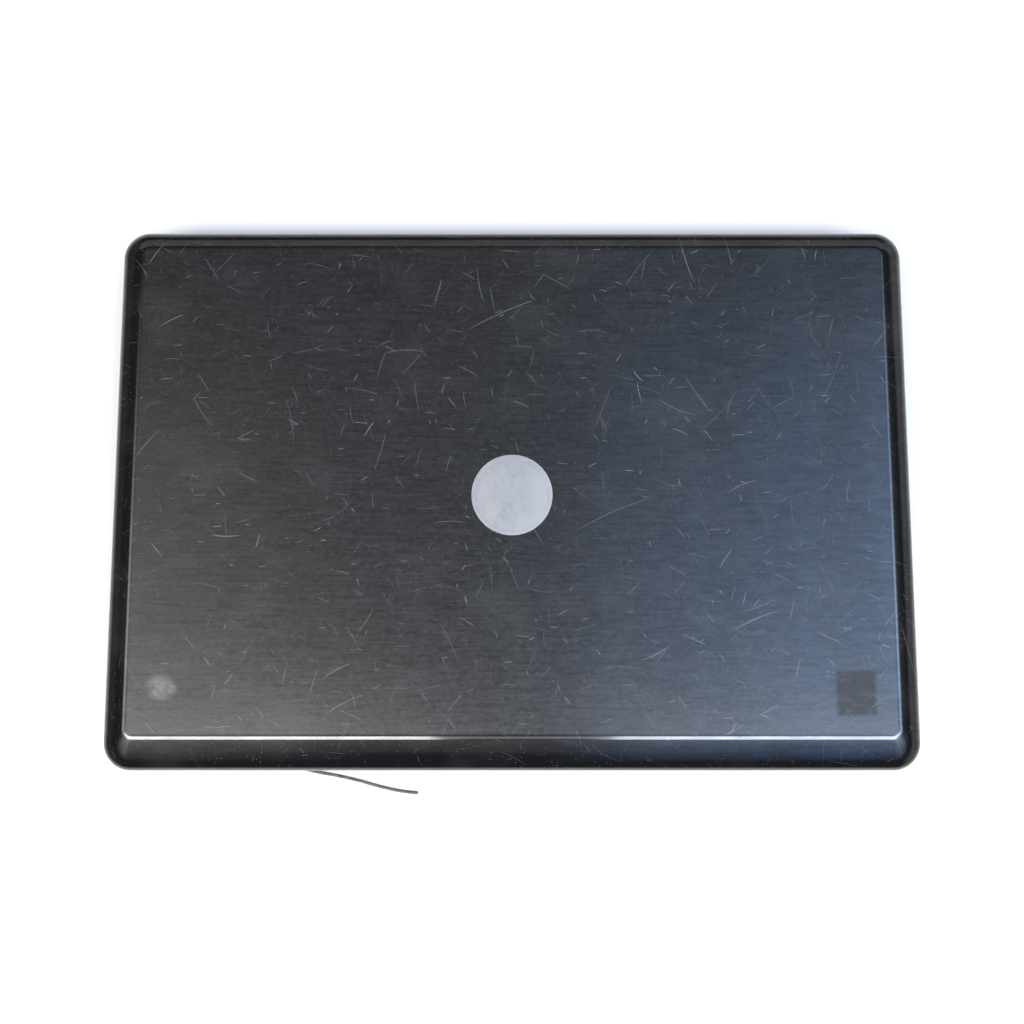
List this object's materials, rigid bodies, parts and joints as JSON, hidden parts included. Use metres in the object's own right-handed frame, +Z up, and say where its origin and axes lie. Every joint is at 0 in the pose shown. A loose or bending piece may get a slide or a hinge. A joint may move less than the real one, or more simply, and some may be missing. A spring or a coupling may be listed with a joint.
{
  "type": "laptop computer",
  "caption": "Closed laptop with a glossy domed lid on a drop hinge; screen, keyboard, touchpad, disc tray and battery move, with the parts inside.",
  "frame": {"origin": "middle of the closed laptop's outline, on the table under the feet", "axes": "+X to the user's right, -Y towards the user (front edge), +Z up; the hinge is at +Y"},
  "size_m": [0.378, 0.2727, 0.038],
  "materials": {
    "gloss_black": "polished, finely scratched",
    "silver_trim": "satin",
    "black_plastic": "fine texture",
    "dark_plastic": "coarse texture",
    "key_plastic": "satin",
    "silver_button": "brushed",
    "rubber": "matt",
    "sheet_metal": "satin",
    "pin_steel": "ground",
    "screw_steel": "blackened",
    "panel_glass": "dark, glossy",
    "diffuser": "matt white",
    "circuit_board": "solder mask",
    "antenna_brass": "foil",
    "heat_copper": "bare copper",
    "vga_blue": "moulded",
    "drive_alloy": "cast alloy",
    "cell_wrap": "shrink wrap",
    "black_cable": "sleeve",
    "brown_cable": "sleeve"
  },
  "bodies": {
    "base": {"base_cover": "dark_plastic", "top_cover": "black_plastic", "hinge_brackets": "sheet_metal", "hinge_covers": "black_plastic", "motherboard": "circuit_board", "heat_sink": "heat_copper", "fan_housing": "dark_plastic", "memory_modules": "circuit_board", "wireless_card": "circuit_board", "hard_drive": "drive_alloy", "speakers": "dark_plastic", "optical_drive": "sheet_metal", "usb_ports": "sheet_metal", "vga_port": "vga_blue", "ethernet_port": "dark_plastic", "audio_jacks": "dark_plastic", "power_jack": "dark_plastic", "keyboard_plate": "screw_steel", "touchpad": "black_plastic", "hard_drive_door": "dark_plastic", "memory_door": "dark_plastic", "feet": "rubber", "case_screws": "screw_steel", "base_wiring": "black_cable", "antenna_lead": "brown_cable"},
    "lid": {"lid_cover": "gloss_black", "lid_badge": "silver_trim", "display_bezel": "black_plastic", "bezel_bumpers": "rubber", "lcd_frame": "sheet_metal", "lcd_glass": "panel_glass", "lcd_backlight": "diffuser", "inverter_board": "circuit_board", "webcam_board": "circuit_board", "webcam_lens": "panel_glass", "wifi_antennas": "antenna_brass", "lid_wiring": "black_cable", "hinge_arms": "sheet_metal", "hinge_caps": "black_plastic", "hinge_pins": "pin_steel"},
    "battery": {"battery_case": "dark_plastic", "battery_cells": "cell_wrap"},
    "latch": {"battery_latch": "dark_plastic"},
    "tray": {"disc_tray": "dark_plastic", "tray_front": "black_plastic"},
    "hub": {"disc_hub": "sheet_metal"},
    "eject": {"eject_button": "black_plastic"},
    "fan": {"fan_rotor": "dark_plastic"},
    "power": {"power_button": "silver_button"},
    "pad_left": {"touchpad_button_left": "silver_button"},
    "pad_right": {"touchpad_button_right": "silver_button"},
    "keys_function_row": {"keys_function_row": "key_plastic"},
    "keys_number_row": {"keys_number_row": "key_plastic"},
    "keys_upper_row": {"keys_upper_row": "key_plastic"},
    "keys_home_row": {"keys_home_row": "key_plastic"},
    "keys_lower_row": {"keys_lower_row": "key_plastic"},
    "keys_bottom_row": {"keys_bottom_row": "key_plastic"},
    "space_bar": {"space_bar": "key_plastic"},
    "arrow_keys": {"arrow_keys": "key_plastic"},
    "number_pad_keys": {"number_pad_keys": "key_plastic"}
  },
  "joints": [
    {"name": "lid_hinge", "type": "hinge", "parent": "base", "child": "lid", "pos_m": [0, 0.1205, 0.0216], "axis": [-1, 0, 0], "range_deg": [0, 125]},
    {"name": "battery_slide", "type": "slide", "parent": "base", "child": "battery", "axis": [0, -1, 0], "range_m": [-0.05, 0]},
    {"name": "latch_slide", "type": "slide", "parent": "base", "child": "latch", "axis": [1, 0, 0], "range_m": [0, 0.006], "stiffness_N_per_m": 60, "springref_m": -0.004},
    {"name": "tray_slide", "type": "slide", "parent": "base", "child": "tray", "axis": [1, 0, 0], "range_m": [0, 0.118]},
    {"name": "hub_spin", "type": "hinge", "parent": "tray", "child": "hub", "pos_m": [0.122, -0.005, 0.01], "axis": [0, 0, 1], "continuous": true},
    {"name": "eject_press", "type": "slide", "parent": "tray", "child": "eject", "axis": [-1, 0, 0], "range_m": [0, 0.0006], "stiffness_N_per_m": 150, "springref_m": -0.001},
    {"name": "fan_spin", "type": "hinge", "parent": "base", "child": "fan", "pos_m": [-0.142, 0.045, 0.01], "axis": [0, 0, 1], "continuous": true},
    {"name": "power_press", "type": "slide", "parent": "base", "child": "power", "axis": [0, 0, -1], "range_m": [0, 0.001], "stiffness_N_per_m": 300, "springref_m": -0.001},
    {"name": "pad_left_press", "type": "slide", "parent": "base", "child": "pad_left", "axis": [0, 0, -1], "range_m": [0, 0.0006], "stiffness_N_per_m": 300, "springref_m": -0.001},
    {"name": "pad_right_press", "type": "slide", "parent": "base", "child": "pad_right", "axis": [0, 0, -1], "range_m": [0, 0.0006], "stiffness_N_per_m": 300, "springref_m": -0.001},
    {"name": "keys_function_row_press", "type": "slide", "parent": "base", "child": "keys_function_row", "axis": [0, 0, -1], "range_m": [0, 0.0025], "stiffness_N_per_m": 300, "springref_m": -0.002},
    {"name": "keys_number_row_press", "type": "slide", "parent": "base", "child": "keys_number_row", "axis": [0, 0, -1], "range_m": [0, 0.0025], "stiffness_N_per_m": 300, "springref_m": -0.002},
    {"name": "keys_upper_row_press", "type": "slide", "parent": "base", "child": "keys_upper_row", "axis": [0, 0, -1], "range_m": [0, 0.0025], "stiffness_N_per_m": 300, "springref_m": -0.002},
    {"name": "keys_home_row_press", "type": "slide", "parent": "base", "child": "keys_home_row", "axis": [0, 0, -1], "range_m": [0, 0.0025], "stiffness_N_per_m": 300, "springref_m": -0.002},
    {"name": "keys_lower_row_press", "type": "slide", "parent": "base", "child": "keys_lower_row", "axis": [0, 0, -1], "range_m": [0, 0.0025], "stiffness_N_per_m": 300, "springref_m": -0.002},
    {"name": "keys_bottom_row_press", "type": "slide", "parent": "base", "child": "keys_bottom_row", "axis": [0, 0, -1], "range_m": [0, 0.0025], "stiffness_N_per_m": 300, "springref_m": -0.002},
    {"name": "space_bar_press", "type": "slide", "parent": "base", "child": "space_bar", "axis": [0, 0, -1], "range_m": [0, 0.0025], "stiffness_N_per_m": 300, "springref_m": -0.002},
    {"name": "arrow_keys_press", "type": "slide", "parent": "base", "child": "arrow_keys", "axis": [0, 0, -1], "range_m": [0, 0.0025], "stiffness_N_per_m": 300, "springref_m": -0.002},
    {"name": "number_pad_keys_press", "type": "slide", "parent": "base", "child": "number_pad_keys", "axis": [0, 0, -1], "range_m": [0, 0.0025], "stiffness_N_per_m": 300, "springref_m": -0.002}
  ]
}
